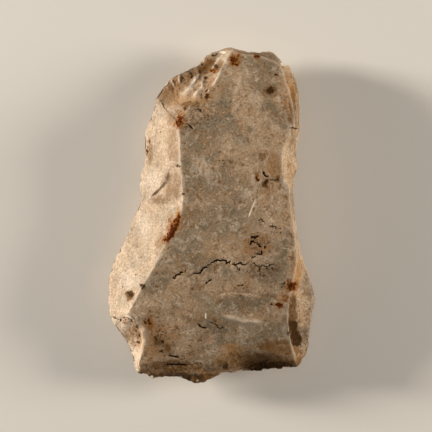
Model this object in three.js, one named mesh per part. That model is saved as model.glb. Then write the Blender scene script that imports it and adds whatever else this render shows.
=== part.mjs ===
import * as THREE from "three";
import { mergeGeometries, mergeVertices } from "three/addons/utils/BufferGeometryUtils.js";

// A waisted flint chisel, struck from one piece of stone and lying on its plain underside.
// Millimetres, +Z up. +Y runs from the flared cutting edge to the narrow butt, and the origin
// is on the resting face, under the middle of the stone.

// Driving sizes
const LENGTH = 105; // cutting edge to butt
const WIDTH = 64.5; // across the flared cutting end
const THICKNESS = 22; // resting face to the worked face, at the waist
const EDGE_HEIGHT = 8.5; // resting face to the sharp rim all the way round
const EDGE_WANDER = 0.8; // how far the rim weaves up and down
const EDGE_WEAVE = 17; // from one rise of the rim to the next
const BELLY_REACH = 14; // how far in from the rim the underside curves
const BIT_REACH = 24; // the same, at the thinner cutting end
const SCAR_SPACING = 12; // trimming scars along the rim of the underside
const SCAR_REACH = 13; // how far in from the rim those scars run

// Shares that shape the stone
const BIT_FALL_SHARE = 0.86; // of its height over the rim, what the worked face loses at the bit
const BUTT_FALL_SHARE = 0.66; // what it loses at the butt
const RIGHT_FALL_SHARE = 0.42; // what it loses along the right side
const HOLLOW_SHARE = 0.04; // how hollow the side facets are between rim and ridge
const FADE_CURVE = 2; // how close to the ridge a facet scar dies out
const UNEVEN_SHARE = 0.09; // how far a scar's border strays from an ellipse
const BIT_START = -0.05; // where the worked face starts to fall to the cutting edge, as a share of LENGTH
const BUTT_START = 0.18; // where it starts to fall to the butt, as a share of LENGTH
const RIGHT_START = 0.1; // where it starts to fall to the right, as a share of WIDTH
const FALL_CURVE = 1.7; // above 1, a fall starts gently and steepens
const TRIM_SHARE = 0.34; // how deep the trimming scars of the underside cut
const COLUMNS = 36; // mesh cells across the stone
const ROWS = 58; // mesh cells along it
const CROWDING = 0.45; // above 0, the cells are smaller towards the rim
const CLEAR_GAIN = 0.03; // mm by which a cell's second diagonal must fit better to be used
const RIDGE_STEPS = 3; // straight steps from one point of the ridge to the next

// Outlines in plan, as [percent of WIDTH, percent of LENGTH] from the middle of the stone
const LEFT_SIDE_SHARES = [
  [-37.0, -45.8], [-37.9, -42.9], [-40.8, -37.8], [-43.7, -35.2], [-47.6, -31.9], [-49.5, -28.6],
  [-50.0, -24.2], [-49.8, -19.4], [-48.1, -15.0], [-44.7, -10.5], [-41.3, -6.4], [-38.4, -2.2],
  [-36.0, 1.9], [-33.8, 4.6], [-34.8, 8.5], [-34.1, 12.3], [-32.1, 15.9], [-32.6, 22.1],
  [-30.7, 26.9], [-28.3, 30.7], [-26.8, 34.9], [-23.9, 37.5],
];
const RIGHT_SIDE_SHARES = [
  [41.8, -45.0], [45.7, -41.1], [47.1, -37.8], [48.1, -31.0], [49.9, -26.0], [49.0, -21.8],
  [47.1, -17.7], [44.2, -12.6], [42.0, -7.3], [40.8, -1.9], [39.9, 3.7], [39.9, 9.9],
  [42.0, 14.1], [40.8, 19.4], [42.5, 23.6], [42.8, 28.9], [42.5, 35.8], [41.3, 39.6], [37.4, 44.7],
];
const BUTT_SHARES = [
  [-23.9, 37.5], [-19.1, 40.9], [-13.8, 42.4], [-8.9, 43.9], [-5.1, 45.4], [-4.1, 46.9],
  [0.2, 48.4], [5.1, 49.3], [8.5, 50.0], [12.8, 49.3], [17.6, 48.7], [22.5, 48.4],
  [28.3, 48.7], [32.6, 46.9], [34.5, 45.5], [37.4, 44.7],
];
const CUTTING_EDGE_SHARES = [
  [-37.0, -45.8], [-35.0, -47.0], [-31.2, -47.2], [-28.7, -48.5], [-24.4, -47.9], [-19.1, -48.5],
  [-13.8, -48.2], [-8.5, -50.0], [-3.1, -49.6], [0.7, -48.2], [5.1, -47.0], [9.9, -46.9],
  [14.7, -46.1], [21.5, -46.3], [28.3, -45.8], [35.0, -45.5], [41.8, -45.0],
];
// The ridges that bound the broad worked face, anticlockwise from the top of the left ridge
const WORKED_FACE_SHARES = [
  [-16.2, 27.4], [-15.2, 22.4], [-15.0, 16.5], [-14.3, 10.5], [-13.5, 5.8], [-14.3, 1.0],
  [-17.6, -3.7], [-21.0, -7.0], [-24.4, -11.4], [-28.7, -16.5], [-33.1, -20.9], [-37.0, -25.7],
  [-39.9, -28.3], [-38.4, -30.1], [-33.6, -32.2], [-31.4, -35.5], [-32.6, -39.9], [-35.0, -44.7],
  [-28.7, -46.1], [-20.0, -46.7], [-12.8, -46.4], [-7.5, -47.3], [-2.2, -47.0], [2.2, -45.5],
  [8.0, -43.8], [14.7, -41.7], [22.5, -40.5], [30.7, -41.1], [37.9, -42.6], [40.3, -42.9],
  [38.4, -38.4], [37.4, -34.0], [36.5, -28.6], [37.4, -23.9], [39.4, -18.5], [41.1, -13.8],
  [40.3, -8.8], [39.0, -2.8], [37.6, 3.1], [37.4, 8.2], [34.5, 11.1], [33.6, 16.5],
  [34.5, 20.3], [37.0, 23.0], [39.4, 26.3], [39.4, 30.7], [37.7, 34.9], [36.0, 38.7],
  [33.6, 43.2], [30.2, 45.8], [24.4, 47.0], [18.6, 47.3], [12.8, 47.9], [9.4, 48.7],
  [7.0, 46.1], [4.6, 43.2], [0.7, 38.4], [-3.6, 35.8], [-7.5, 33.1], [-11.8, 29.8],
];

// Flake scars of the worked side. at is as in the outlines, long and wide are the half sizes of
// the scar in percent of LENGTH, turn is its long axis in degrees from +X, and cut is the share of
// the stone above the rim that it takes away at its middle. A scar with a wall under 1 drops
// steeply at its border and is flat inside. Facet scars die out at the ridge of the worked face.
const FACET_SCARS = [
  { name: "upper left", at: [-34.1, 20.0], long: 18.2, wide: 11.8, turn: 84, cut: 0.24, wall: 0.4 },
  { name: "lower left", at: [-44.2, -14.8], long: 23.0, wide: 12.5, turn: 63, cut: 0.14 },
  { name: "left corner", at: [-43.0, -38.0], long: 8.6, wide: 5.6, turn: 116, cut: 0.6 },
  { name: "butt corner", at: [5.0, 40.2], long: 18.1, wide: 18.1, turn: 0, cut: 0.12 },
  { name: "butt flute", at: [-7.5, 38.4], long: 6.4, wide: 2.8, turn: 61, cut: 0.5 },
  { name: "butt hollow", at: [-17.1, 35.8], long: 5.6, wide: 3.8, turn: 45, cut: 0.4 },
  { name: "butt groove", at: [0.7, 43.5], long: 5.6, wide: 2.5, turn: 60, cut: 0.5 },
  { name: "upper right", at: [40.8, 34.9], long: 10.1, wide: 4.6, turn: 92, cut: 0.3 },
  { name: "waist right", at: [39.9, 17.1], long: 7.1, wide: 4.0, turn: 90, cut: 0.3 },
];
const FACE_SCARS = [
  { name: "butt slope", at: [-14.0, 47.0], long: 20.0, wide: 17.0, turn: 40, cut: 0.4 },
  { name: "butt right", at: [25.4, 32.8], long: 13.6, wide: 8.6, turn: 82, cut: 0.04 },
  { name: "waist", at: [33.5, 7.0], long: 10.5, wide: 7.2, turn: 95, cut: 0.06 },
  { name: "ripple", at: [15.2, -27.4], long: 13.6, wide: 4.6, turn: -8, cut: 0.08 },
  { name: "bit", at: [3.0, -40.0], long: 19.5, wide: 8.0, turn: -4, cut: 0.1 },
  { name: "lower right", at: [49.5, -30.0], long: 16.5, wide: 7.6, turn: 88, cut: 0.5, wall: 0.4 },
  { name: "right notch", at: [41.8, 24.5], long: 2.6, wide: 1.6, turn: 0, cut: 0.4 },
  { name: "butt chip", at: [28.0, 47.5], long: 3.3, wide: 1.6, turn: -15, cut: 0.4 },
  { name: "bit right", at: [22.5, -44.4], long: 9.5, wide: 4.0, turn: 0, cut: 0.35 },
  { name: "bit middle", at: [0.7, -47.6], long: 3.0, wide: 2.3, turn: 20, cut: 0.4 },
  { name: "bit left", at: [-19.1, -48.2], long: 3.0, wide: 2.0, turn: 0, cut: 0.4 },
  { name: "bit corner", at: [-31.5, -47.2], long: 2.4, wide: 1.8, turn: 0, cut: 0.4 },
];

const inPlan = ([across, along]) => new THREE.Vector2((across * WIDTH) / 100, (along * LENGTH) / 100);
const smooth = (share) => THREE.MathUtils.smoothstep(share, 0, 1);

const leftSide = new THREE.SplineCurve(LEFT_SIDE_SHARES.map(inPlan));
const rightSide = new THREE.SplineCurve(RIGHT_SIDE_SHARES.map(inPlan));
const butt = new THREE.SplineCurve(BUTT_SHARES.map(inPlan));
const cuttingEdge = new THREE.SplineCurve(CUTTING_EDGE_SHARES.map(inPlan));
const crowded = (share) => share - (CROWDING * Math.sin(2 * Math.PI * share)) / (2 * Math.PI);
const alongCurve = (curve, steps) =>
  Array.from({ length: steps + 1 }, (_, i) => curve.getPointAt(crowded(i / steps)));
const rim = [
  ...alongCurve(cuttingEdge, COLUMNS).slice(0, -1),
  ...alongCurve(rightSide, ROWS).slice(0, -1),
  ...alongCurve(butt, COLUMNS).reverse().slice(0, -1),
  ...alongCurve(leftSide, ROWS).reverse().slice(0, -1),
];
const workedFace = new THREE.SplineCurve([...WORKED_FACE_SHARES, WORKED_FACE_SHARES[0]].map(inPlan))
  .getPoints(RIDGE_STEPS * WORKED_FACE_SHARES.length)
  .slice(1);

// The plan point at share s across and share t along the stone, spanned between its four sides.
function spanned(s, t) {
  const ends = [butt.getPointAt(s).multiplyScalar(t), cuttingEdge.getPointAt(s).multiplyScalar(1 - t)];
  const sides = [leftSide.getPointAt(t).multiplyScalar(1 - s), rightSide.getPointAt(t).multiplyScalar(s)];
  const corners = [
    leftSide.getPointAt(0).multiplyScalar(-(1 - s) * (1 - t)),
    rightSide.getPointAt(0).multiplyScalar(-s * (1 - t)),
    leftSide.getPointAt(1).multiplyScalar(-(1 - s) * t),
    rightSide.getPointAt(1).multiplyScalar(-s * t),
  ];
  return [...ends, ...sides, ...corners].reduce((sum, part) => sum.add(part), new THREE.Vector2());
}

// The shortest way from a plan point to a closed line.
function distanceTo(line, point) {
  let nearest = Infinity;
  for (let i = 0; i < line.length; i += 1) {
    const start = line[i];
    const end = line[(i + 1) % line.length];
    const [runX, runY] = [end.x - start.x, end.y - start.y];
    const [toX, toY] = [point.x - start.x, point.y - start.y];
    const share = THREE.MathUtils.clamp((toX * runX + toY * runY) / (runX ** 2 + runY ** 2), 0, 1);
    nearest = Math.min(nearest, Math.hypot(toX - share * runX, toY - share * runY));
  }
  return nearest;
}

// Is a plan point inside a closed line? A line from it to the right then crosses an odd number of sides.
function inside(line, point) {
  let crossings = 0;
  line.forEach((start, i) => {
    const end = line[(i + 1) % line.length];
    if (start.y > point.y === end.y > point.y) return;
    const share = (point.y - start.y) / (end.y - start.y);
    if (start.x + (end.x - start.x) * share > point.x) crossings += 1;
  });
  return crossings % 2 === 1;
}

// Over the worked face this is above zero, and below zero between its ridges and the rim.
const insideWorkedFace = (point) => distanceTo(workedFace, point) * (inside(workedFace, point) ? 1 : -1);

// 0 at a scar's middle and 1 along its border, which is an uneven ellipse.
function scarReach(scar, point) {
  const fromMiddle = point.clone().sub(inPlan(scar.at));
  fromMiddle.rotateAround(new THREE.Vector2(), -THREE.MathUtils.degToRad(scar.turn));
  const [along, across] = [fromMiddle.x / scar.long, fromMiddle.y / scar.wide];
  const round = Math.atan2(across, along);
  const waves = Math.sin(3 * round + scar.turn) + 0.6 * Math.sin(5 * round - scar.turn);
  const border = 1 + UNEVEN_SHARE * waves;
  return Math.hypot(along, across) / (LENGTH / 100) / border;
}

// The share of the stone that a scar leaves in place at a point.
function leftBy(scar, point, fade = 1) {
  return 1 - scar.cut * fade * Math.max(0, 1 - scarReach(scar, point) ** 2) ** (scar.wall ?? 1);
}

// The height of the gently wavy level that the rim lies on.
function rimHeight(point) {
  const along = Math.sin((2 * Math.PI * point.y) / EDGE_WEAVE);
  const across = Math.cos((2 * Math.PI * point.x) / (EDGE_WEAVE * 1.3));
  return EDGE_HEIGHT + EDGE_WANDER * along * across;
}

// How far a share of the length or width has run from where a fall starts to the stone's end, curved.
function fallen(share, start) {
  return Math.max(0, (share - start) / (Math.sign(start) * 0.5 - start)) ** FALL_CURVE;
}

// How high the worked face stands over the rim: level at the waist and falling to three sides.
function workedRise(point) {
  const atBit = 1 - BIT_FALL_SHARE * fallen(point.y / LENGTH, BIT_START);
  const atButt = 1 - BUTT_FALL_SHARE * fallen(point.y / LENGTH, BUTT_START);
  const atRight = 1 - RIGHT_FALL_SHARE * fallen(point.x / WIDTH, RIGHT_START);
  return (THICKNESS - rimHeight(point)) * atBit * atButt * atRight;
}

// The worked side: a broad face inside its ridges, and hollow facets from the ridges to the rim.
function topHeight(point) {
  const fromRim = distanceTo(rim, point);
  const toFace = Math.max(0, -insideWorkedFace(point));
  const up = fromRim / Math.max(fromRim + toFace, 1e-6);
  let rise = workedRise(point) * (up - HOLLOW_SHARE * 4 * up * (1 - up));
  for (const scar of FACET_SCARS) rise *= leftBy(scar, point, smooth(FADE_CURVE * (1 - up)));
  for (const scar of FACE_SCARS) rise *= leftBy(scar, point);
  return rimHeight(point) + rise;
}

// Trimming scars all round the underside, each a little different from the last.
const trimmingScars = (() => {
  const perimeter = rim.reduce((sum, at, i) => sum + at.distanceTo(rim[(i + 1) % rim.length]), 0);
  const count = Math.round(perimeter / SCAR_SPACING);
  return Array.from({ length: count }, (_, i) => {
    const index = Math.floor(((i + 0.3 * Math.sin(5 * i)) / count) * rim.length + rim.length) % rim.length;
    const before = rim[(index + rim.length - 2) % rim.length];
    const after = rim[(index + 2) % rim.length];
    const size = 1 + 0.3 * Math.sin(3 * i + 1);
    return {
      at: [(rim[index].x / WIDTH) * 100, (rim[index].y / LENGTH) * 100],
      long: ((SCAR_REACH * size) / LENGTH) * 100,
      wide: ((0.62 * SCAR_SPACING * size) / LENGTH) * 100,
      turn: 90 + THREE.MathUtils.radToDeg(after.clone().sub(before).angle()) + 15 * Math.sin(2 * i),
      cut: TRIM_SHARE * (1 + 0.4 * Math.cos(7 * i)),
    };
  });
})();

// The underside: one smooth swell from the rim down to the resting face, trimmed along the rim.
function bottomHeight(point) {
  const toBit = smooth(0.5 - point.y / LENGTH + BIT_START);
  const reach = THREE.MathUtils.lerp(BELLY_REACH, BIT_REACH, toBit);
  const down = Math.min(1, distanceTo(rim, point) / reach);
  let depth = rimHeight(point) * (1 - (1 - down) ** 2);
  for (const scar of trimmingScars) depth *= leftBy(scar, point);
  return rimHeight(point) - depth;
}

// Is a point of the grid one of those along its four sides?
function onRim(i) {
  const row = Math.floor(i / (COLUMNS + 1));
  const column = i % (COLUMNS + 1);
  return row === 0 || row === ROWS || column === 0 || column === COLUMNS;
}

// Slides each inner point that lies next to a ridge onto it, so that mesh edges follow the ridges.
// A point stays on the first ridge that claims it.
function snapped(points, ridges) {
  const perRow = COLUMNS + 1;
  const placed = points.map((_, i) => onRim(i));
  let current = points;
  for (const ridge of ridges) {
    const level = current.map(ridge);
    const moves = new Map();
    const tryPair = (a, b) => {
      if (level[a] * level[b] >= 0) return;
      const share = level[a] / (level[a] - level[b]);
      const near = share < 0.5 ? a : b;
      const length = current[a].distanceTo(current[b]) * Math.min(share, 1 - share);
      if (placed[near] || length > (moves.get(near)?.length ?? Infinity)) return;
      moves.set(near, { at: current[a].clone().lerp(current[b], share), length });
    };
    for (let i = 0; i < points.length; i += 1) {
      if (i % perRow < COLUMNS) tryPair(i, i + 1);
      if (i + perRow < points.length) tryPair(i, i + perRow);
    }
    for (const i of moves.keys()) placed[i] = true;
    current = current.map((at, i) => moves.get(i)?.at ?? at);
  }
  return current;
}

// One side of the stone, as a grid of cells. Each is split along the diagonal that fits the stone
// best, unless that diagonal would fold the cell over.
function sideOfStone(heightAt, ridges, facesUp) {
  const grid = new THREE.PlaneGeometry(1, 1, COLUMNS, ROWS);
  const shares = grid.getAttribute("uv");
  const spannedPoints = Array.from({ length: shares.count }, (_, i) =>
    spanned(crowded(shares.getX(i)), crowded(shares.getY(i))),
  );
  const points = snapped(spannedPoints, ridges);
  const heights = points.map((point, i) => (onRim(i) ? rimHeight(point) : heightAt(point)));
  points.forEach((point, i) => grid.getAttribute("position").setXYZ(i, point.x, point.y, heights[i]));

  const turn = (i, j, k) => points[j].clone().sub(points[i]).cross(points[k].clone().sub(points[i]));
  const miss = (i, j, triangles) => {
    const middle = points[i].clone().lerp(points[j], 0.5);
    const folded = triangles.some((corners) => turn(...corners) <= 0);
    return Math.abs((heights[i] + heights[j]) / 2 - heightAt(middle)) + (folded ? THICKNESS : 0);
  };
  const index = [];
  for (let row = 0; row < ROWS; row += 1) {
    for (let column = 0; column < COLUMNS; column += 1) {
      const a = row * (COLUMNS + 1) + column;
      const [b, c, d] = [a + COLUMNS + 1, a + COLUMNS + 2, a + 1];
      const first = [[a, b, c], [a, c, d]];
      const second = [[a, b, d], [b, c, d]];
      const isFirst = miss(a, c, first) < miss(b, d, second) + CLEAR_GAIN;
      const corners = (isFirst ? first : second).flat();
      index.push(...(facesUp ? corners : corners.reverse()));
    }
  }
  grid.setIndex(index);
  grid.deleteAttribute("uv");
  grid.deleteAttribute("normal");
  return grid;
}

function stoneGeometry() {
  const topRidges = [...FACET_SCARS, ...FACE_SCARS].map((scar) => (point) => scarReach(scar, point) - 1);
  const bottomRidges = trimmingScars.map((scar) => (point) => scarReach(scar, point) - 1);
  const sides = [
    sideOfStone(topHeight, [insideWorkedFace, ...topRidges], true),
    sideOfStone(bottomHeight, bottomRidges, false),
  ];
  const closed = mergeVertices(mergeGeometries(sides), 1e-4);
  closed.computeVertexNormals();
  return closed;
}

const patinatedFlint = new THREE.MeshStandardMaterial({ color: "#a58a68", roughness: 0.62, metalness: 0 });

const stone = new THREE.Mesh(stoneGeometry(), patinatedFlint);
stone.name = "chisel_stone";

const flintChisel = new THREE.Group();
flintChisel.add(stone);

export default flintChisel;
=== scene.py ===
import math

import bmesh
import bpy
import numpy as np
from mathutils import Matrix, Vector, kdtree, noise


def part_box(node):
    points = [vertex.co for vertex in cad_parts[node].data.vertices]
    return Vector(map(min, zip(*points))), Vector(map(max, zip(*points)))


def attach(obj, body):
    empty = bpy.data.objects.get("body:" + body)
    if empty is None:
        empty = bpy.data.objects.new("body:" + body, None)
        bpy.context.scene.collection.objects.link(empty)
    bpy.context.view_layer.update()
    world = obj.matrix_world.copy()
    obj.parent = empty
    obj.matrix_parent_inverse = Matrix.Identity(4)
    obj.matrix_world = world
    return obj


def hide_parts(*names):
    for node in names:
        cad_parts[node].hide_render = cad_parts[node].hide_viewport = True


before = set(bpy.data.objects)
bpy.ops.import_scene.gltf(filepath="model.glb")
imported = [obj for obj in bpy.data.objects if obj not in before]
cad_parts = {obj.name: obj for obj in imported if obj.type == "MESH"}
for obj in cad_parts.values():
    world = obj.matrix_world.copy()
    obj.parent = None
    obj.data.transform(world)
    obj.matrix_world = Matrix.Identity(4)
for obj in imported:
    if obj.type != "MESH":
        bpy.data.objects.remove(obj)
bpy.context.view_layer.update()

# A waisted flint chisel, one struck stone, lying on its underside with the worked face up.
# Places are in mm from the middle of the stone: +X right, +Y to the butt, +Z up.
MM = 0.001

# Camera, floor and room, in mm
CAMERA_AIM = (1.4, -0.2)
CAMERA_HEIGHT = 1130
CAMERA_LENS = 300
SIGHT = 10000
FLOOR_SIZE = 6000
PAINT, PAINT_ROUGHNESS = "#efece6", 0.9
ROOM_LIGHT, ROOM_STRENGTH = "#f4f1ec", 0.05

# Lamps: name, degrees round the stone and over the floor, distance, size, power, colour
LIGHTS = [
    ("key", 167, 16, 900, 160, 11, "#fff6ea"),
    ("fill", 6, 20, 900, 300, 7, "#fff4e6"),
    ("top", 90, 88, 1000, 700, 0.6, "#ffffff"),
]
LIGHT_AIM = (0, 0, 10)

# The skin of the copied solid, in mm and degrees
MERGE_WITHIN = 0.002
JOIN_BEND, JOIN_SKEW = 40, 70  # how far two triangles may bend and skew and still make one cell
CREASE_FROM, CREASE_FULL = 16, 38  # bends between which an edge goes from rounded to sharp
ROUNDINGS = 2
ARRIS_BEND = 24  # an edge of the rounded skin that bends more is an arris
SMOOTH_BEND = 50
FINE_REACH, FINEST_REACH = 0.9, 0.45  # how near a line the cells are halved once, and how near twice

# Which way the skin faces: from and to where it counts as worked side, and as facing left
FACING_UP = (0, 0.2)
FACING_LEFT = (-0.25, -0.60)

# Relief of the struck surface, in mm
SWELLS = [(11.0, 0.24, 2), (3.6, 0.14, 3), (1.4, 0.08, 3)]  # wave size, height, octaves
CALM_SHARE = 0.25  # of its wave size, how far from an arris a swell is whole
RIPPLE_LENGTH, RIPPLE_HEIGHT = 3.1, 0.05
RIPPLE_SWAY, RIPPLE_SWAY_SIZE = 1.5, 9.0  # how uneven the rings are, and over what distance
ROUGH_HEIGHT, ROUGH_SIZE = 0.35, 1.8
CREST_WEAR_AND_HIGHLIGHT = 0.7  # how pale a crest is drawn, as wear and painted highlight, before its height is added

# Nibbled rim and worn arrises, in mm
EDGE_NIBBLE, EDGE_NIBBLE_SIZE, CUTTING_EDGE_NIBBLE = 0.5, 1.6, 1.2
NIBBLE_LEVEL, NIBBLE_SPREAD, NIBBLE_REACH = 0.15, 1.3, 0.6
CUTTING_EDGE = (-42, -45)  # from and to where along the stone the rim becomes the cutting edge
ARRIS_WEAR, ARRIS_WEAR_SIZE = 0.16, 1.0
ARRIS_WEAR_LEVEL, ARRIS_WEAR_REACH = 0.3, 0.5

# Cracks and scratches, in mm, and shares of them
CRACK_DEPTH, CRACK_WIDTH, CRACK_BREAKS = 0.40, 0.21, 1.1
WHOLE_LEVEL, WHOLE_SPREAD = 1.2, 1.3  # how much of a crack is whole, and how sharply it breaks off
CRACK_THIN, CRACK_SHALLOW = 0.4, 0.25  # width and depth that are left where a crack breaks off
FAINT_WIDTH, FAINT_DEPTH, FAINT_TONE = 0.7, 0.4, 0.8  # of a faint crack, as shares of a crack's
CRACK_SWAY, FAINT_SWAY = 0.8, 0.9
SCRATCH_DEPTH, SCRATCH_WIDTH = 0.25, 0.34
SCRATCH_SHALLOW, SCRATCH_TONE = 0.5, 0.9
PALE_WIDTH, PALE_DEPTH = 0.7, 0.2  # of a pale scratch, as shares of a dark one's
LINE_END_DEPTH = 0.35  # what is left of the depth at the ends of a crack or scratch

# Wandering lines, in mm
MEANDER_STEP = 0.4
MEANDER_BENDS = 1.7  # noise steps for every mm
MEANDER_SHIFT = Vector((9, 4, 2))

# At both ends, lines fade over one part in so many of their length; ripples fade over their last half
STREAK_PARTS, LINE_PARTS, LIP_PARTS, CREST_PARTS, RIPPLE_PARTS = 5, 5, 6, 4, 2

# A lip's wall is halfway up on its line, and its raised side ends after so many times its reach
WALL_MIDDLE, LIP_REACHES = 0.5, 4

# Marks: how far stains stray from their place, in mm, and shares of the fainter ones
STAIN_STRAY, STAIN_STRAY_SIZE = 0.8, 1.3
PALE_ARRIS = 0.55  # reach in mm
ARRIS_FADE_AT_BIT, ARRIS_FADE_AT_BIT_SHARE = (-39, -43), 0.9  # from and to where along the stone the pale arris fades at the cutting edge, and how much of it fades
# The wall share and the foot share are painted shade: darker on the wall of the lower right scar and at
# the foot of every scar lip.
HALO_SHARE, WALL_SOIL_AND_SHADE_SHARE, FOOT_SHADE_SHARE = 0.55, 0.45, 0.25

# Seeds of the noise
SEED_STEPS = (17.3, 5.1, 9.7)
MEANDER_SEED_STEP = 3.7
FAINT_SEED, NIBBLE_SEED, WEAR_SEED, ROUGH_SEED, CRACK_SEED = 10, 11, 12, 21, 31
STRAY_SEEDS = (41, 42)

# Ripples of the flake scars: the point of the blow and how far they reach, which is also their seed
BLOWS = [
    ((-36, 22), 24), ((-44, -20), 34), ((40, 30), 22),
    ((6, 58), 22), ((8, -60), 26), ((42, -25), 18),
]

# Lips of flake scars: line, how far the ground on the left of its run is raised, width of the
# wall, how far the raised or lowered side runs on
LIPS = [
    ([(-11.4, 15.7), (-12.6, 14.9), (-13.3, 13.6), (-13.4, 12.0), (-14.0, 10.3), (-15.4, 8.8),
      (-17.2, 7.2), (-19.0, 5.4)], -0.4, 0.3, 2.5),
    ([(-19.0, 5.4), (-17.2, 7.2), (-15.4, 8.8), (-14.0, 10.3), (-13.4, 12.0),
      (-13.3, 13.6)], 0.5, 0.3, 4.0),
    ([(-13.2, 10.0), (-14.6, 8.0), (-16.2, 6.6), (-17.6, 5.3)], 0.35, 0.3, 2.0),
    ([(-15.8, 36.2), (-14.9, 33.7), (-12.9, 31.3), (-11.0, 29.4), (-10.2, 27.0)], -0.4, 0.4, 3.0),
    ([(14.5, 20.7), (17.0, 20.3), (19.8, 20.4), (21.7, 21.7), (23.2, 23.5)], -0.22, 0.40, 3.0),
    ([(0.2, -25.1), (3.3, -24.5), (6.4, -24.0), (12.0, -24.5), (16.0, -25.4), (19.8, -26.6),
      (22.9, -28.2)], -0.4, 0.6, 4.0),
    ([(21.8, 40.3), (23.2, 36.6), (23.9, 33.0), (24.8, 29.8), (25.7, 27.4)], 0.3, 0.5, 2.0),
    ([(23.6, -31.0), (23.9, -35.0), (24.6, -39.5), (25.6, -43.5)], -0.5, 0.4, 2.0),
]

# Fine crests: line, height, half width
CRESTS = [
    ([(3.3, 49.5), (2.5, 48.7), (1.6, 47.4), (1.1, 46.4)], 0.45, 0.45),
    ([(3.4, 45.2), (2.6, 43.2), (1.8, 41.6), (1.0, 40.4), (0.1, 39.7)], 0.60, 0.45),
    ([(-0.2, 38.8), (-1.1, 38.2)], 0.45, 0.40),
    ([(-3.2, 44.8), (-4.2, 42.8), (-5.4, 41.0), (-6.4, 39.4), (-8.4, 37.9),
      (-10.4, 36.9)], 0.80, 1.10),
    ([(-2.9, 42.3), (-2.4, 41.6), (-2.3, 40.6), (-2.6, 39.4), (-3.6, 38.2), (-4.7, 37.1),
      (-6.2, 36.1)], 0.90, 0.50),
    ([(-9.8, 44.0), (-10.0, 42.2), (-9.6, 40.6)], 0.40, 0.40),
    ([(-12.6, 42.6), (-11.8, 41.0), (-11.4, 39.6)], 0.30, 0.35),
    ([(-27.0, -30.4), (-25.0, -30.2), (-23.4, -31.2), (-22.6, -32.8)], 0.35, 0.35),
    ([(-27.4, -31.3), (-25.6, -31.2), (-24.2, -32.0), (-23.4, -33.4)], 0.35, 0.30),
    ([(-30.6, -31.0), (-29.4, -31.5), (-28.7, -32.2)], 0.25, 0.30),
    ([(-13.2, 15.2), (-12.6, 16.4), (-11.5, 16.5), (-10.8, 15.8)], 0.25, 0.30),
    ([(9.2, 43.5), (8.3, 39.4), (6.5, 36.8)], 0.22, 0.60),
    ([(15.4, 33.5), (14.5, 31.9), (13.6, 30.4)], 0.15, 0.35),
    ([(12.0, 15.7), (12.6, 12.6), (13.2, 9.2), (13.2, 6.4)], 0.12, 0.60),
    ([(2.6, -30.7), (5.1, -31.3), (7.3, -31.8), (9.2, -32.6), (13.9, -33.0),
      (17.0, -33.3)], 0.60, 0.80),
    ([(23.7, -33.2), (24.5, -38.8), (25.4, -42.8), (26.3, -46.3)], 0.25, 0.40),
    ([(16.7, -27.9), (18.2, -30.1)], 0.15, 0.35),
    ([(-22.6, -33.8), (-21.1, -36.2), (-20.8, -39.0), (-21.6, -42.6), (-22.9, -45.6)], 0.45, 0.50),
]

# Frost cracks across the worked face
CRACKS = [
    [(-12.3, -19.8), (-11.1, -18.9), (-9.5, -17.9), (-8.3, -17.3), (-7.3, -16.4)],
    [(-7.3, -18.9), (-5.8, -18.2), (-3.9, -17.9), (-2.0, -16.4), (-0.2, -15.1), (1.1, -14.2),
     (2.6, -13.9), (3.6, -13.9), (5.1, -14.5), (6.7, -15.1), (8.3, -15.1), (9.8, -15.1),
     (11.4, -14.8), (12.6, -14.4)],
    [(12.1, -13.5), (13.2, -12.8), (14.6, -12.2), (15.4, -11.4), (15.6, -10.5)],
    [(13.9, -8.6), (14.7, -9.2), (15.5, -9.9)],
    [(11.7, -8.8), (12.6, -8.3), (13.3, -8.0)],
    [(12.1, -7.2), (13.3, -6.8), (14.7, -6.2)],
    [(15.7, 13.7), (16.2, 12.4), (17.6, 11.5)],
]
FAINT_CRACKS = [
    [(11.4, -14.8), (13.2, -15.1), (14.5, -15.7), (16.4, -15.4), (17.6, -16.4), (18.9, -16.7),
     (21.0, -17.6)],
    [(16.4, -10.4), (17.0, -9.6)],
    [(14.1, -1.2), (15.6, -1.4), (16.4, -2.1)],
    [(17.6, -2.9), (19.2, -3.6), (20.6, -4.0)],
    [(17.6, 11.5), (19.2, 11.0), (21.2, 11.1)],
    [(23.8, 26.8), (27.3, 26.8)],
    [(-1.2, -32.6), (1.4, -33.9), (4.2, -35.3)],
    [(7.0, -15.0), (8.6, -16.4), (9.4, -16.2)],
    [(16.8, -16.2), (17.9, -15.2), (19.6, -15.6)],
    [(-27.8, -31.9), (-26.2, -31.6), (-25.0, -32.2), (-24.0, -33.4)],
    [(-31.2, -32.0), (-29.6, -32.0), (-28.4, -32.6)],
]

# Scratches: dark old ones and pale fresh ones
DARK_SCRATCHES = [
    [(-13.6, -43.5), (-11.7, -43.8), (-9.8, -44.2)],
    [(-14.8, -46.4), (-11.1, -46.3), (-6.9, -46.6)],
    [(-4.4, -33.7), (-3.0, -34.6), (-1.2, -35.1)],
    [(-2.0, -21.3), (-1.1, -20.4), (0.3, -19.7)],
    [(7.9, -21.8), (10.1, -21.6)],
    [(-7.5, 28.4), (-6.7, 27.6), (-5.5, 26.5)],
    [(-28.2, -32.1), (-28.2, -33.1)],
]
PALE_SCRATCHES = [
    [(13.6, 5.0), (12.5, 2.3), (11.4, -0.6)],
    [(-1.8, -30.1), (-1.8, -31.9)],
]

# Stained streaks: line, half width
RUST_STREAKS = [
    ([(-9.8, 1.8), (-10.4, -0.8), (-11.2, -3.4), (-12.6, -5.8), (-15.2, -9.2)], 0.8),
    ([(22.4, -27.5), (20.9, -27.6), (19.4, -27.8)], 0.5),
]
# The soil streak and the dark streak lie on the steep wall of the lower right scar, which faces away
# from the key light: soil and painted shade.
SOIL_AND_PAINTED_SHADE_STREAKS = [([(25.0, -23.0), (24.9, -27.0), (25.2, -33.0), (26.4, -41.0)], 1.5)]
DARK_AND_PAINTED_SHADE_STREAKS = [([(25.2, -31.6), (25.8, -35.5), (26.6, -39.8), (27.0, -41.4)], 1.5)]

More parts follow.
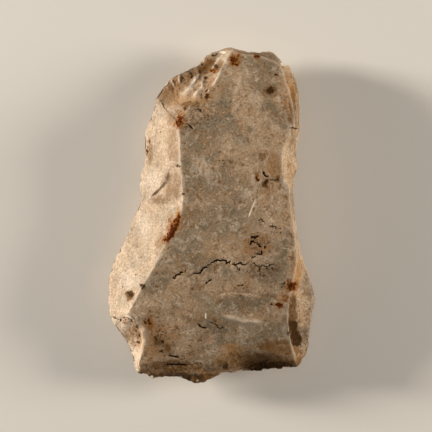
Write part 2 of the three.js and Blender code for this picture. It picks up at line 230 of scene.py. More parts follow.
# Spots: place, half size across, half size along. A halo is the faint rim round a rust spot.
RUST_SPOTS = [
    ((6.8, 48.0), 1.3, 1.7), ((14.0, 49.2), 0.8, 0.8), ((-9.9, 28.9), 1.3, 1.9),
    ((24.7, -21.9), 1.6, 1.6), ((18.7, -27.4), 0.4, 0.3), ((21.4, -28.5), 0.6, 0.4),
    ((14.2, 11.3), 0.4, 0.6), ((-11.2, -3.6), 0.7, 1.6), ((-20.0, 20.0), 0.25, 1.4),
    ((-19.4, 23.4), 0.3, 0.8), ((-19.1, -33.0), 0.6, 1.0), ((-2.2, 45.9), 0.7, 0.5),
    ((-1.3, 48.3), 0.4, 0.8), ((0.4, 44.9), 1.1, 0.4),
]
RUST_HALOS = [
    ((7.5, 48.8), 1.9, 1.9), ((-9.6, 29.6), 1.7, 2.8), ((24.7, -21.9), 2.2, 2.1),
    ((22.7, -25.7), 1.3, 1.2), ((-18.9, -32.9), 1.1, 2.3), ((-12.6, -3.2), 1.2, 3.4),
    ((14.2, 12.2), 0.6, 1.3), ((-26.5, -33.0), 0.8, 0.8),
]
# Dark spots; the wide one at (18.5, -47.6) is painted shade on the cutting edge's bevel, which faces
# away from the lights.
DARK_SPOTS_AND_PAINTED_SHADE = [
    ((18.0, 38.6), 1.3, 1.0), ((19.8, 43.2), 0.5, 0.5), ((-25.1, -24.4), 0.9, 1.0),
    ((-21.1, -21.7), 0.7, 0.6), ((16.9, 10.0), 0.5, 1.5), ((12.8, -8.2), 0.8, 0.3),
    ((16.7, -10.0), 0.3, 0.4), ((13.4, -6.7), 1.0, 0.4), ((21.2, -4.3), 0.6, 0.35),
    ((21.2, -5.5), 0.5, 0.3), ((14.6, -16.8), 0.5, 0.4), ((15.2, -18.4), 0.5, 0.3),
    ((22.1, -20.9), 0.5, 0.4), ((18.5, -47.6), 7.5, 2.2), ((4.2, -46.9), 0.7, 1.0),
    ((-20.4, -32.8), 0.3, 0.7), ((-22.9, -34.3), 0.4, 0.8), ((-23.3, -36.0), 0.5, 0.3),
    ((-22.7, -37.6), 0.5, 0.7), ((-22.7, -39.3), 0.4, 0.5), ((-10.2, 15.1), 0.7, 0.4),
    ((-8.6, 6.4), 0.4, 0.5), ((-1.5, 38.4), 0.5, 0.4), ((-1.4, 36.7), 0.4, 0.9),
    ((-3.1, 47.1), 0.4, 0.3), ((-1.7, 42.6), 0.7, 0.5), ((-3.2, 37.1), 0.6, 0.5),
    ((-6.1, 43.3), 0.5, 0.4), ((-3.4, 32.6), 0.6, 0.5), ((-8.3, 33.0), 0.7, 0.4),
    ((1.4, 46.0), 0.8, 0.6), ((0.8, 49.8), 0.7, 0.4), ((4.4, 33.4), 0.5, 0.3),
    ((-17.4, -38.4), 0.5, 0.7), ((-15.0, -38.9), 0.5, 0.4), ((-15.8, -42.2), 0.5, 0.4),
]
# Pale spots: bare flint of chips; those along the cutting edge are also painted glints on the tips of
# its nibbles.
PALE_SPOTS = [
    ((-14.3, 41.0), 0.9, 0.7), ((-18.5, -50.6), 0.7, 0.6), ((-9.6, -50.6), 0.7, 0.5),
    ((-4.4, -51.4), 0.5, 0.4), ((-23.2, -48.2), 0.6, 0.5), ((-24.2, -47.4), 0.6, 0.8),
    ((3.3, 50.7), 1.0, 0.5), ((-2.6, 48.4), 0.4, 0.7), ((22.6, 47.0), 1.4, 0.6),
]
SPECKLED_PATCHES = [
    ((15.0, -9.0), 5.0, 4.0), ((-6.0, 40.5), 8.0, 5.5), ((-3.0, 31.0), 8.0, 5.0),
    ((-16.0, -38.0), 4.0, 5.0), ((-8.0, -47.5), 12.0, 3.0), ((15.0, -17.0), 7.0, 3.0),
    ((-24.3, -36.5), 2.6, 3.6),
]
# Soil patches, some of them painted shade: those at (18.0, -45.5) and (20.0, -41.6) darken the cutting
# edge's bevel, which faces away from the lights, and the one at (25.0, 33.0) darkens the upper right
# crease.
SOIL_AND_PAINTED_SHADE_PATCHES = [
    ((-16.4, -38.6), 1.8, 1.4), ((-13.6, -40.9), 1.2, 1.0), ((4.2, -46.9), 1.4, 1.4),
    ((-0.5, 46.4), 4.0, 2.2), ((-7.0, 34.2), 3.2, 1.0), ((25.0, 33.0), 1.0, 6.0),
    ((-12.0, -46.8), 8.0, 1.6), ((18.0, -45.5), 14.0, 3.2), ((-10.0, -51.0), 16.0, 1.8),
    ((20.0, -41.6), 7.0, 2.6), ((18.2, 38.4), 2.1, 1.8), ((-25.1, -24.6), 1.3, 1.6),
    ((16.8, 9.8), 1.0, 2.0), ((20.4, 11.2), 1.0, 0.7),
]
OCHRE_PATCHES = [
    ((19.5, 15.0), 2.0, 3.6), ((14.0, -9.0), 4.0, 3.0), ((24.0, 37.0), 2.0, 6.0),
    ((-18.0, -38.0), 6.0, 5.0), ((-7.0, 40.0), 9.0, 6.0), ((6.0, -43.0), 4.0, 3.0),
    ((-10.0, -50.0), 14.0, 3.0), ((26.4, -17.0), 1.6, 4.0), ((-10.0, -2.0), 1.2, 4.0),
    ((-24.0, -36.5), 2.2, 3.2),
]
ROUGH_PATCHES = [
    ((-6.0, 41.5), 8.0, 5.0), ((-24.0, -38.0), 2.6, 5.0), ((-8.0, -50.0), 16.0, 1.6),
]

# Patches of the patina, in the same way. Warm ones cancel the grey. Some grey patches, beside the scar
# lips and on a facet at the butt, and all the left painted shade patches are painted shade, darkening
# skin that faces the lights.
GREY_AND_PAINTED_SHADE_PATCHES = [
    ((-4.0, 24.0), 6.5, 5.5), ((-1.0, 9.0), 6.0, 4.0), ((-8.0, -11.0), 5.0, 6.5),
    ((3.0, -32.0), 8.0, 4.5), ((3.0, 36.0), 4.0, 6.0), ((15.0, 40.0), 3.0, 2.4),
    ((12.0, -28.0), 9.0, 2.6), ((2.0, -44.0), 8.0, 3.0), ((4.0, -1.0), 9.0, 6.0),
    ((15.5, -36.0), 8.0, 6.0), ((2.5, 48.5), 2.5, 2.0), ((11.0, 48.5), 3.0, 1.6),
    ((-12.6, 9.4), 1.9, 4.2), ((-15.6, 4.6), 2.6, 1.4),
]
WARM_PATCHES = [
    ((3.0, -22.5), 6.0, 3.5), ((13.5, 15.5), 5.0, 4.0), ((19.0, 16.0), 3.0, 3.0),
    ((5.0, 38.0), 3.0, 5.0), ((-13.5, -34.5), 3.5, 3.5), ((-27.0, -34.5), 3.5, 3.0),
    ((1.0, 33.0), 4.0, 2.0),
]
LEFT_PAINTED_SHADE_PATCHES = [
    ((-12.2, 9.4), 2.6, 4.6), ((-15.4, 4.8), 3.0, 1.6), ((-12.0, 22.5), 1.8, 7.0),
    ((-15.5, -9.0), 1.6, 4.0), ((-12.6, 30.0), 1.4, 2.4), ((-19.0, 19.0), 0.9, 3.4),
]
# Bleached patches, paler skin and painted light: most lie on lit facets of the left side, the one at
# (-17.8, 10.4) on the lit lobe of a scar.
BLEACHED_AND_PAINTED_LIGHT_PATCHES = [
    ((-17.8, 10.4), 3.0, 3.6), ((-27.6, -34.6), 2.6, 2.4), ((-21.0, -3.0), 2.0, 4.0),
    ((-26.0, -20.0), 2.6, 3.0), ((-24.6, -41.5), 2.0, 5.0), ((-5.4, 41.0), 2.0, 1.2),
]

# Patina of long-buried flint and what has settled on it; the soil colour also paints shade
TAN, GREY, CREAM = "#bba082", "#877862", "#dccab5"  # ground, its grey clouds, bleached skin that also serves as painted light
OCHRE, SOIL, SPECK = "#a9773f", "#755026", "#38240c"
RUST, RUST_DARK = "#92560c", "#4a1c02"
CRACK, FRESH = "#261203", "#f3e8d2"  # dirt in the cracks, bare flint in chips and pale scratches, and painted glints on the cutting edge's nibbles

# The veil of a weathered skin takes most of the flint's own gloss
FLINT_IOR, FLINT_SPECULAR = 1.54, 0.06
BUMPS = [("grain", 0.12), ("mottle", 0.42)]  # pattern, depth in mm
BUMP_STRENGTH = 0.9

# Noise in the patina: size in mm, detail, roughness and twist. The skin's own pits are finer than
# 0.1 mm, too fine to show, so the finest noise is drawn at 0.6 mm.
PATTERNS = {
    "clouds": (12.0, 4, 0.60, 0.5),
    "blotch": (5.0, 6, 0.70, 0.6),
    "mottle": (2.4, 6, 0.70, 0.3),
    "wisps": (1.6, 3, 0.60, 0.8),
    "fleck": (0.9, 4, 0.70, 0.0),
    "grain": (0.6, 4, 0.75, 0.0),
}
DOT_SPACING = 1.3

# What the patterns and the marks on the stone are made into, each line from what stands above it.
# A spread goes from its third number to its fourth while its source goes from the first to the second.
SHARES = [
    ("cloudy", "SPREAD", "clouds", 0.46, 0.60, 0.0, 1.0),
    ("cloudy or marked", "ADD", "cloudy", "grey"),
    ("mottled", "SPREAD", "mottle", 0.35, 0.60, 0.4, 1.0),
    ("greyed", "MULTIPLY", "cloudy or marked", "mottled"),
    ("ochre blotch", "SPREAD", "blotch", 0.50, 0.64, 0.0, 0.3),
    ("cream wisp", "SPREAD", "wisps", 0.54, 0.70, 0.0, 0.5),
    ("cream blotch", "SPREAD", "blotch", 0.48, 0.34, 0.0, 0.4),
    ("brown mottle", "SPREAD", "mottle", 0.48, 0.34, 0.0, 0.72),
    ("bleaching and painted light", "MULTIPLY", "bleached_and_painted_light", 0.4),
    ("uneven", "SPREAD", "mottle", 0.35, 0.65, 0.3, 2.0),
    ("uneven left painted shade", "MULTIPLY", "left_painted_shade", "uneven"),
    ("left painted shade in soil colour", "SPREAD", "uneven left painted shade", 0.0, 1.2, 0.0, 0.6),
    ("uneven ochre", "MULTIPLY", "ochre", "uneven"),
    ("ochre patch", "SPREAD", "uneven ochre", 0.1, 0.9, 0.0, 0.6),
    ("uneven soil and painted shade", "MULTIPLY", "soil_and_painted_shade", "uneven"),
    ("soil and painted shade patch", "SPREAD", "uneven soil and painted shade", 0.1, 0.9, 0.0, 0.85),
    ("more dots", "MULTIPLY", "speckled", 0.4),
    ("dots wanted", "ADD", "dot choice", "more dots"),
    ("dots picked", "SPREAD", "dots wanted", 0.75, 0.90, 0.0, 1.0),
    ("dot shape", "SPREAD", "dot centre", 0.28, 0.14, 0.0, 1.0),
    ("dot", "MULTIPLY", "dot shape", "dots picked"),
    ("more flecks", "MULTIPLY", "speckled", 0.12),
    ("flecks wanted", "ADD", "fleck", "more flecks"),
    ("dark fleck", "SPREAD", "flecks wanted", 0.61, 0.67, 0.0, 0.7),
    ("dot or fleck", "MAXIMUM", "dot", "dark fleck"),
    ("speck", "MULTIPLY", "dot or fleck", 0.85),
    ("dark grain", "SPREAD", "grain", 0.52, 0.64, 0.0, 0.7),
    ("crust", "MULTIPLY", "speckled", "dark grain"),
    ("pale grain", "SPREAD", "grain", 0.46, 0.36, 0.0, 0.5),
    ("bared", "MULTIPLY", "speckled", "pale grain"),
    ("grain tone", "SPREAD", "grain", 0.34, 0.66, 0.75, 1.25),
    ("fleck tone", "SPREAD", "fleck", 0.34, 0.66, 0.88, 1.12),
    ("patchy", "SPREAD", "mottle", 0.35, 0.60, 0.3, 0.7),
    ("pale arris wear and highlight", "MULTIPLY", "arris_wear_and_highlight", "patchy"),
    ("ragged", "SPREAD", "fleck", 0.35, 0.65, 0.6, 1.5),
    ("ragged dark", "MULTIPLY", "dark", "ragged"),
    ("dark spot", "SPREAD", "ragged dark", 0.1, 0.85, 0.0, 0.95),
    ("stain", "MULTIPLY", "rust", "ragged"),
    ("rust stain", "SPREAD", "stain", 0.0, 0.7, 0.0, 0.9),
    ("rust core", "SPREAD", "stain", 0.4, 0.9, 0.0, 0.95),
    ("ragged chip", "MULTIPLY", "pale", "ragged"),
    ("chip and glint", "SPREAD", "ragged chip", 0.3, 0.8, 0.0, 0.9),
    ("open crack", "SPREAD", "cracked", 0.25, 0.7, 0.0, 1.0),
    ("scratch", "SPREAD", "fresh", 0.15, 0.6, 0.0, 1.0),
    ("dull stain", "SPREAD", "stain", 0.15, 0.6, 0.0, 0.25),
    ("dull grain", "SPREAD", "grain", 0.2, 0.8, 0.7, 0.85),
    ("dull", "ADD", "dull stain", "dull grain"),
]

# Colours laid over the tan ground, from below up, each with its share. A tone has no colour of its
# own and only darkens and lightens.
LAYERS = [
    ("greyed", GREY), ("ochre blotch", OCHRE), ("cream wisp", CREAM), ("cream blotch", CREAM),
    ("brown mottle", SOIL), ("bleaching and painted light", CREAM), ("left painted shade in soil colour", SOIL), ("ochre patch", OCHRE),
    ("soil and painted shade patch", SOIL), ("speck", SPECK), ("crust", SPECK), ("bared", CREAM),
    ("grain tone", None), ("fleck tone", None), ("pale arris wear and highlight", CREAM), ("dark spot", SPECK),
    ("rust stain", RUST), ("rust core", RUST_DARK), ("chip and glint", FRESH), ("open crack", CRACK),
    ("scratch", FRESH),
]

# Sockets of a colour mix: share, lower colour, upper colour and the mixed colour
MIX_SHARE, MIX_UNDER, MIX_OVER, MIX_RESULT = 0, 6, 7, 2


def linear(colour):
    """An sRGB hex colour as linear values, opaque."""
    shares = [int(colour[i:i + 2], 16) / 255 for i in (1, 3, 5)]
    return (*[s / 12.92 if s <= 0.04045 else ((s + 0.055) / 1.055) ** 2.4 for s in shares], 1.0)


def select_only(thing):
    bpy.ops.object.select_all(action="DESELECT")
    thing.select_set(True)
    bpy.context.view_layer.objects.active = thing


def smooth_step(values):
    """0 below 0, 1 above 1 and a soft rise between them."""
    values = np.clip(values, 0, 1)
    return values * values * (3 - 2 * values)


def rise(values, start, end):
    """A soft rise from 0 where the values are at start to 1 where they are at end."""
    return smooth_step((values - start) / (end - start))


def close_to(away, reach):
    """1 on a line, falling off to nearly 0 at twice the reach from it."""
    return np.exp(-(away / reach) ** 2)


def faded_ends(along, parts):
    """0 at both ends of a line, rising to 1 over the first and the last of so many parts of it."""
    return smooth_step(parts * np.minimum(along, 1 - along))


def waves(points, size, octaves, seed):
    """Smooth noise from about -1 to 1 at each point, with waves of the given size in mm."""
    shift = Vector([seed * step for step in SEED_STEPS])
    return np.array([noise.fractal(Vector(p) / size + shift, 1.0, 2.0, octaves) for p in points])


def meandering(line, sway, seed):
    """The line with more points, each but the two ends moved up to about sway mm."""
    places = []
    for start, end in zip(line[:-1], line[1:]):
        start, end = Vector(start), Vector(end)
        count = max(1, round((end - start).length / MEANDER_STEP))
        places += [start.lerp(end, i / count) for i in range(count)]
    places.append(Vector(line[-1]))
    for i in range(1, len(places) - 1):
        x, y = places[i]
        at = Vector((x * MEANDER_BENDS, y * MEANDER_BENDS, seed * MEANDER_SEED_STEP))
        places[i] = places[i] + Vector((noise.noise(at), noise.noise(at + MEANDER_SHIFT))) * sway
    return [(p.x, p.y) for p in places]


def from_line(plan, line):
    """How far each plan point is from the line, on which side, and its share of the way along."""
    nearest = np.full(len(plan), np.inf)
    side = np.ones(len(plan))
    along = np.zeros(len(plan))
    ends = np.array(line)
    lengths = np.linalg.norm(np.diff(ends, axis=0), axis=1)
    travelled = 0.0
    for start, end, length in zip(ends[:-1], ends[1:], lengths):
        run, to = end - start, plan - start
        share = np.clip(to @ run / length ** 2, 0, 1)
        away = np.linalg.norm(to - share[:, None] * run, axis=1)
        closer = away < nearest
        nearest[closer] = away[closer]
        side[closer] = np.sign(run[0] * to[:, 1] - run[1] * to[:, 0])[closer]
        along[closer] = ((travelled + share * length) / lengths.sum())[closer]
        travelled += length
    return nearest, side, along


def stone_from_solid():
    """A copy of the solid as one closed skin, with its arrises kept sharp and the rest rounded."""
    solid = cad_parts["chisel_stone"]
    stone = bpy.data.objects.new("flint_stone", solid.data.copy())
    bpy.context.collection.objects.link(stone)
    stone.data.materials.clear()
    select_only(stone)
    bpy.ops.object.mode_set(mode="EDIT")
    bpy.ops.mesh.select_all(action="SELECT")
    bpy.ops.mesh.remove_doubles(threshold=MERGE_WITHIN * MM)
    bend, skew = math.radians(JOIN_BEND), math.radians(JOIN_SKEW)
    bpy.ops.mesh.tris_convert_to_quads(face_threshold=bend, shape_threshold=skew)
    bpy.ops.object.mode_set(mode="OBJECT")
    bpy.ops.mesh.customdata_custom_splitnormals_clear()

    shape = bmesh.new()
    shape.from_mesh(stone.data)
    crease = shape.edges.layers.float.new("crease_edge")
    for edge in shape.edges:
        edge[crease] = float(rise(math.degrees(edge.calc_face_angle(0)), CREASE_FROM, CREASE_FULL))
    shape.to_mesh(stone.data)
    shape.free()

    rounding = stone.modifiers.new("rounding", "SUBSURF")
    rounding.levels = rounding.render_levels = ROUNDINGS
    bpy.ops.object.modifier_apply(modifier=rounding.name)
    return stone


def refine_along(stone, lines, reach):
    """Splits the cells of the worked side that lie within reach mm of the lines."""
    shape = bmesh.new()
    shape.from_mesh(stone.data)
    faces = [face for face in shape.faces if face.normal.z > 0]
    plan = np.array([face.calc_center_median().to_2d() for face in faces]) / MM
    near = np.full(len(faces), np.inf)
    for line in lines:
        near = np.minimum(near, from_line(plan, line)[0])
    edges = {edge for face, away in zip(faces, near) if away < reach for edge in face.edges}
    bmesh.ops.subdivide_edges(shape, edges=list(edges), cuts=1, use_grid_fill=True)
    shape.to_mesh(stone.data)
    shape.free()


def places_and_normals(stone):
    """The corners of the skin in mm, and which way it faces at each."""
    count = len(stone.data.vertices)
    places, normals = np.empty(count * 3), np.empty(count * 3)
    stone.data.vertices.foreach_get("co", places)
    stone.data.vertices.foreach_get("normal", normals)
    return places.reshape(-1, 3) / MM, normals.reshape(-1, 3)


def is_rim(edge):
    return edge.is_manifold and edge.link_faces[0].normal.z * edge.link_faces[1].normal.z < 0


def is_arris(edge):
    return edge.is_manifold and math.degrees(edge.calc_face_angle(0)) > ARRIS_BEND


def distance_to(stone, is_sharp, places):
    """How far each place is, in mm, from the nearest corner of the edges that is_sharp picks."""
    shape = bmesh.new()
    shape.from_mesh(stone.data)
    shape.normal_update()
    corners = {vert for edge in shape.edges if is_sharp(edge) for vert in edge.verts}
    tree = kdtree.KDTree(len(corners))
    for i, vert in enumerate(corners):
        tree.insert(vert.co / MM, i)
    tree.balance()
    shape.free()
    return np.array([tree.find(place)[2] for place in places])


def soft_edge(away):
    """1 up to half the size of a spot, a half at its size and 0 at half as far again."""
    return np.clip(1.5 - away, 0, 1)


def spots(plan, list_of_spots):
    """How deep each place lies in the spots, from 0 outside them to 1."""
    level = np.zeros(len(plan))
    for (x, y), across, along in list_of_spots:
        away = np.hypot((plan[:, 0] - x) / across, (plan[:, 1] - y) / along)
        level = np.maximum(level, soft_edge(away))
    return level


def streaks(plan, list_of_streaks):
    """The same for stained lines, each with its half width."""
    level = np.zeros(len(plan))
    for line, width in list_of_streaks:
        away, _, along = from_line(plan, line)
        level = np.maximum(level, soft_edge(away / width) * faded_ends(along, STREAK_PARTS))
    return level


def deepest(plan, lines, width):
    """1 along the lines, falling off within their half width and towards their ends."""
    level = np.zeros(len(plan))
    for line in lines:
        away, _, along = from_line(plan, line)
        depth = LINE_END_DEPTH + (1 - LINE_END_DEPTH) * faded_ends(along, LINE_PARTS)
        level = np.maximum(level, depth * close_to(away, width))
    return level


def struck_surface(places, worked, to_arris):
    """Swells of the whole skin, calm at the arrises, and ripples and rough spots of the worked side."""
    plan = places[:, :2]
    raised = np.zeros(len(places))
    for seed, (size, height, octaves) in enumerate(SWELLS, start=1):
        calm = smooth_step(to_arris / (CALM_SHARE * size))
        raised += height * calm * waves(places, size, octaves, seed)
    for (x, y), reach in BLOWS:
        away = np.hypot(plan[:, 0] - x, plan[:, 1] - y)
        sway = RIPPLE_SWAY * waves(places, RIPPLE_SWAY_SIZE, 1, reach)
        ring = np.sin(2 * math.pi * away / RIPPLE_LENGTH + sway)
        raised += worked * RIPPLE_HEIGHT * ring * smooth_step(RIPPLE_PARTS * (1 - away / reach))
    rough = smooth_step(spots(plan, ROUGH_PATCHES))
    return raised + worked * rough * ROUGH_HEIGHT * waves(places, ROUGH_SIZE, 3, ROUGH_SEED)


def scar_lips(plan):
    """How high the lips of the scars stand, and how near each place is to the foot of one, where shade
    is painted.
    """
    raised, foot = np.zeros(len(plan)), np.zeros(len(plan))
    for line, height, width, reach in LIPS:
        away, side, along = from_line(plan, line)
        whole = faded_ends(along, LIP_PARTS)
        up_the_wall = side * away / width
        raised_side = smooth_step(WALL_MIDDLE + up_the_wall) * np.exp(-away / reach)
        raised += height * whole * raised_side * (away < LIP_REACHES * reach)
        low_side = smooth_step(WALL_MIDDLE - math.copysign(1, height) * up_the_wall)
        foot = np.maximum(foot, whole * low_side * np.exp(-away / width))
    return raised, foot


def scar_crests(plan):
    """How high the fine crests stand, and how pale they are drawn, as wear and painted highlight, the
    higher the more.
    """
    raised, worn = np.zeros(len(plan)), np.zeros(len(plan))
    for line, height, width in CRESTS:
        away, _, along = from_line(plan, line)
        crest = faded_ends(along, CREST_PARTS) * close_to(away, width)
        raised += height * crest
        worn = np.maximum(worn, (CREST_WEAR_AND_HIGHLIGHT + height) * crest)
    return raised, worn


def fine_lines(places, cracks, faint):
    """Cracks, faint cracks, dark scratches and pale ones: for each kind, 1 where it is deepest."""
    plan = places[:, :2]
    whole = smooth_step(WHOLE_LEVEL + WHOLE_SPREAD * waves(places, CRACK_BREAKS, 2, CRACK_SEED))
    width = CRACK_WIDTH * (CRACK_THIN + whole)
    cracked = deepest(plan, cracks, width) * (CRACK_SHALLOW + (1 - CRACK_SHALLOW) * whole)
    hair = deepest(plan, faint, FAINT_WIDTH * width) * whole
    dark = deepest(plan, DARK_SCRATCHES, SCRATCH_WIDTH)
    dark *= SCRATCH_SHALLOW + (1 - SCRATCH_SHALLOW) * whole
    pale = deepest(plan, PALE_SCRATCHES, PALE_WIDTH * SCRATCH_WIDTH)
    return cracked, hair, dark, pale


def edge_wear(places, to_rim, to_arris):
    """How much the rim is nibbled, most at the cutting edge, and the arrises are worn."""
    bites = NIBBLE_LEVEL + NIBBLE_SPREAD * waves(places, EDGE_NIBBLE_SIZE, 2, NIBBLE_SEED)
    at_bit = rise(places[:, 1], *CUTTING_EDGE)
    bite = np.clip(bites, 0, 1) * (EDGE_NIBBLE + (CUTTING_EDGE_NIBBLE - EDGE_NIBBLE) * at_bit)
    worn = np.clip(ARRIS_WEAR_LEVEL + waves(places, ARRIS_WEAR_SIZE, 2, WEAR_SEED), 0, 1)
    nibbled = bite * close_to(to_rim, NIBBLE_REACH)
    return nibbled + ARRIS_WEAR * worn * close_to(to_arris, ARRIS_WEAR_REACH)


def work_skin(stone, cracks, faint):
    """Moves the skin in and out, stores the marks that the material reads and returns their names."""
    places, normals = places_and_normals(stone)
    plan = places[:, :2]
    worked = rise(normals[:, 2], *FACING_UP)
    to_rim = distance_to(stone, is_rim, places)
    to_arris = distance_to(stone, is_arris, places)
    lips, foot = scar_lips(plan)
    crests, crest_wear_and_highlight = scar_crests(plan)
    cracked, hair, scratched, fresh = fine_lines(places, cracks, faint)

    raised = struck_surface(places, worked, to_arris) + worked * (lips + crests)
    raised -= worked * CRACK_DEPTH * np.maximum(cracked, FAINT_DEPTH * hair)
    raised -= worked * SCRATCH_DEPTH * np.maximum(scratched, PALE_DEPTH * fresh)
    raised -= edge_wear(places, to_rim, to_arris)
    moved = places + normals * raised[:, None]
    low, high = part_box("chisel_stone")
    moved = np.clip(moved, np.array(low) / MM, np.array(high) / MM)
    stone.data.vertices.foreach_set("co", (moved * MM).ravel())
    stone.data.update()

    stray = [STAIN_STRAY * waves(places, STAIN_STRAY_SIZE, 3, seed) for seed in STRAY_SEEDS]
    strayed = plan + np.column_stack(stray)
    # Skin facing left, towards the key light, is drawn paler, as painted light with some paler patina,
    # and parts of it darker as painted shade.
    left_facets = rise(normals[:, 0], *FACING_LEFT)
    # Pale arrises and crests: worn skin and painted highlight.
    arris_wear_and_highlight = close_to(to_arris, PALE_ARRIS) * (1 - ARRIS_FADE_AT_BIT_SHARE * rise(plan[:, 1], *ARRIS_FADE_AT_BIT))
    halos, wall_soil_and_shade = spots(strayed, RUST_HALOS), streaks(plan, SOIL_AND_PAINTED_SHADE_STREAKS)
    rust = [spots(strayed, RUST_SPOTS), streaks(strayed, RUST_STREAKS), HALO_SHARE * halos]
    # The dark mark also paints shade: the wide spot on the cutting edge's bevel and the wall of the
    # lower right scar.
    dark = [spots(strayed, DARK_SPOTS_AND_PAINTED_SHADE), streaks(strayed, DARK_AND_PAINTED_SHADE_STREAKS), WALL_SOIL_AND_SHADE_SHARE * wall_soil_and_shade]
    # Soil colour here also paints shade: on the cutting edge's bevel, in the upper right crease, on the
    # wall of the lower right scar and at the foot of every scar lip.
    soil_and_painted_shade = [spots(strayed, SOIL_AND_PAINTED_SHADE_PATCHES), streaks(strayed, SOIL_AND_PAINTED_SHADE_STREAKS), FOOT_SHADE_SHARE * foot]
    marks = {
        "cracked": worked * np.maximum.reduce([cracked, FAINT_TONE * hair, SCRATCH_TONE * scratched]),
        "fresh": worked * fresh,
        "pale": spots(plan, PALE_SPOTS),
        "speckled": worked * spots(plan, SPECKLED_PATCHES),
        "arris_wear_and_highlight": np.maximum(arris_wear_and_highlight, worked * crest_wear_and_highlight),
        "rust": worked * np.maximum.reduce(rust),
        "dark": worked * np.maximum.reduce(dark),
        "soil_and_painted_shade": worked * np.maximum.reduce(soil_and_painted_shade),
        "ochre": worked * spots(plan, OCHRE_PATCHES),
        # The grey mark is partly painted shade, and the left painted shade darkens parts of the
        # left-facing facets.
        "grey": worked * (spots(plan, GREY_AND_PAINTED_SHADE_PATCHES) - spots(plan, WARM_PATCHES)),
        "left_painted_shade": left_facets * spots(strayed, LEFT_PAINTED_SHADE_PATCHES),
        "bleached_and_painted_light": left_facets + worked * spots(plan, BLEACHED_AND_PAINTED_LIGHT_PATCHES),
    }
    for name, values in marks.items():
        layer = stone.data.attributes.new(name, "FLOAT", "POINT")
        layer.data.foreach_set("value", values.astype(np.float32))
    return list(marks)


def add_node(tree, kind, inputs=None, **settings):
    """Adds a node with its settings. An input is a plain value or the socket that feeds it."""
    made = tree.nodes.new(kind)
    for name, value in settings.items():
        setattr(made, name, value)
    for socket, value in (inputs or {}).items():
        if isinstance(value, bpy.types.NodeSocket):
            tree.links.new(value, made.inputs[socket])
        else:
            made.inputs[socket].default_value = value
    return made


def patinated_flint(marks):
    """Old struck flint: a mottled, silky skin with soil and rust held in it, paler on worn arrises and
    left-facing facets, partly as painted light, and darker in places as painted shade.
    """
    material = bpy.data.materials.new("patinated_flint")
    material.use_nodes = True
    tree = material.node_tree
    shader = tree.nodes["Principled BSDF"]
    at = add_node(tree, "ShaderNodeTexCoord").outputs["Object"]

    found = {}
    for name, (size, detail, rough, twist) in PATTERNS.items():
        inputs = {"Vector": at, "Scale": 1 / (size * MM), "Detail": detail, "Roughness": rough}
        inputs["Distortion"] = twist
        found[name] = add_node(tree, "ShaderNodeTexNoise", inputs).outputs["Fac"]
    for name in marks:
        found[name] = add_node(tree, "ShaderNodeAttribute", attribute_name=name).outputs["Fac"]
    dots = add_node(tree, "ShaderNodeTexVoronoi", {"Vector": at, "Scale": 1 / (DOT_SPACING * MM)})
    found["dot centre"], found["dot choice"] = dots.outputs["Distance"], dots.outputs["Color"]

    for name, operation, first, *rest in SHARES:
        if operation == "SPREAD":
            inputs = {"Value": found[first]}
            inputs.update(zip(("From Min", "From Max", "To Min", "To Max"), rest))
            made = add_node(tree, "ShaderNodeMapRange", inputs, interpolation_type="SMOOTHSTEP")
        else:
            inputs = {0: found[first], 1: found.get(rest[0], rest[0])}
            made = add_node(tree, "ShaderNodeMath", inputs, operation=operation, use_clamp=True)
        found[name] = made.outputs[0]

    colour = linear(TAN)
    for name, tint in LAYERS:
        if tint is None:
            shade = {0: found[name], 1: found[name], 2: found[name]}
            over = add_node(tree, "ShaderNodeCombineColor", shade).outputs[0]
            blend, share = "MULTIPLY", 1.0
        else:
            over, blend, share = linear(tint), "MIX", found[name]
        inputs = {MIX_SHARE: share, MIX_UNDER: colour, MIX_OVER: over}
        mixed = add_node(tree, "ShaderNodeMix", inputs, data_type="RGBA", blend_type=blend)
        colour = mixed.outputs[MIX_RESULT]
    tree.links.new(colour, shader.inputs["Base Color"])

    tree.links.new(found["dull"], shader.inputs["Roughness"])
    shader.inputs["IOR"].default_value = FLINT_IOR
    shader.inputs["Specular IOR Level"].default_value = FLINT_SPECULAR
    normal = None
    for name, depth in BUMPS:
        inputs = {"Strength": BUMP_STRENGTH, "Distance": depth * MM, "Height": found[name]}
        if normal:
            inputs["Normal"] = normal
        normal = add_node(tree, "ShaderNodeBump", inputs).outputs["Normal"]
    tree.links.new(normal, shader.inputs["Normal"])
    return material


def matt_paint():
    """Pale matt paint on a board: an even ground with no gloss."""
    material = bpy.data.materials.new("matt_paint")
    material.use_nodes = True
    shader = material.node_tree.nodes["Principled BSDF"]
    shader.inputs["Base Color"].default_value = linear(PAINT)
    shader.inputs["Roughness"].default_value = PAINT_ROUGHNESS
    return material


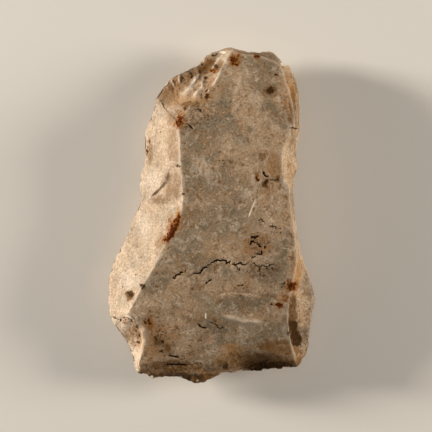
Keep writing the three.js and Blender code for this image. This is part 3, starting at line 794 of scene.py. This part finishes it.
def add_light(name, turn, height, away, size, power, colour):
    """A square soft light at an angle round the stone and a height angle over the floor."""
    data = bpy.data.lights.new(name, "AREA")
    data.shape, data.size = "SQUARE", size * MM
    data.energy, data.color = power, linear(colour)[:3]
    light = bpy.data.objects.new(name, data)
    bpy.context.collection.objects.link(light)
    turn, height = math.radians(turn), math.radians(height)
    flat = away * math.cos(height)
    place = Vector((flat * math.cos(turn), flat * math.sin(turn), away * math.sin(height)))
    light.location = place * MM
    light.rotation_euler = (place - Vector(LIGHT_AIM)).to_track_quat("Z", "Y").to_euler()


# Camera, floor and lights
camera = bpy.data.objects.new("camera", bpy.data.cameras.new("camera"))
bpy.context.collection.objects.link(camera)
camera.data.lens = CAMERA_LENS
camera.data.clip_end = SIGHT * MM
camera.location = Vector((*CAMERA_AIM, CAMERA_HEIGHT)) * MM
bpy.context.scene.camera = camera
bpy.context.scene.view_settings.view_transform = "Standard"

bpy.ops.object.select_all(action="DESELECT")
bpy.ops.mesh.primitive_plane_add(size=FLOOR_SIZE * MM)
floor = bpy.context.active_object
floor.name = "floor"
floor.data.materials.append(matt_paint())

for light in LIGHTS:
    add_light(*light)
world = bpy.data.worlds.new("studio")
world.use_nodes = True
world.node_tree.nodes["Background"].inputs["Strength"].default_value = ROOM_STRENGTH
world.node_tree.nodes["Background"].inputs["Color"].default_value = linear(ROOM_LIGHT)
bpy.context.scene.world = world

# The stone
cracks = [meandering(line, CRACK_SWAY, i) for i, line in enumerate(CRACKS)]
faint = [meandering(line, FAINT_SWAY, i) for i, line in enumerate(FAINT_CRACKS, start=FAINT_SEED)]
stone = stone_from_solid()
thin_lines = cracks + faint + DARK_SCRATCHES + PALE_SCRATCHES
refine_along(stone, thin_lines + [line for line, *_ in CRESTS + LIPS], FINE_REACH)
refine_along(stone, thin_lines, FINEST_REACH)
marks = work_skin(stone, cracks, faint)
select_only(stone)
bpy.ops.object.shade_smooth_by_angle(angle=math.radians(SMOOTH_BEND))
stone.data.materials.append(patinated_flint(marks))
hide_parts("chisel_stone")
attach(stone, "root")

bpy.context.view_layer.update()
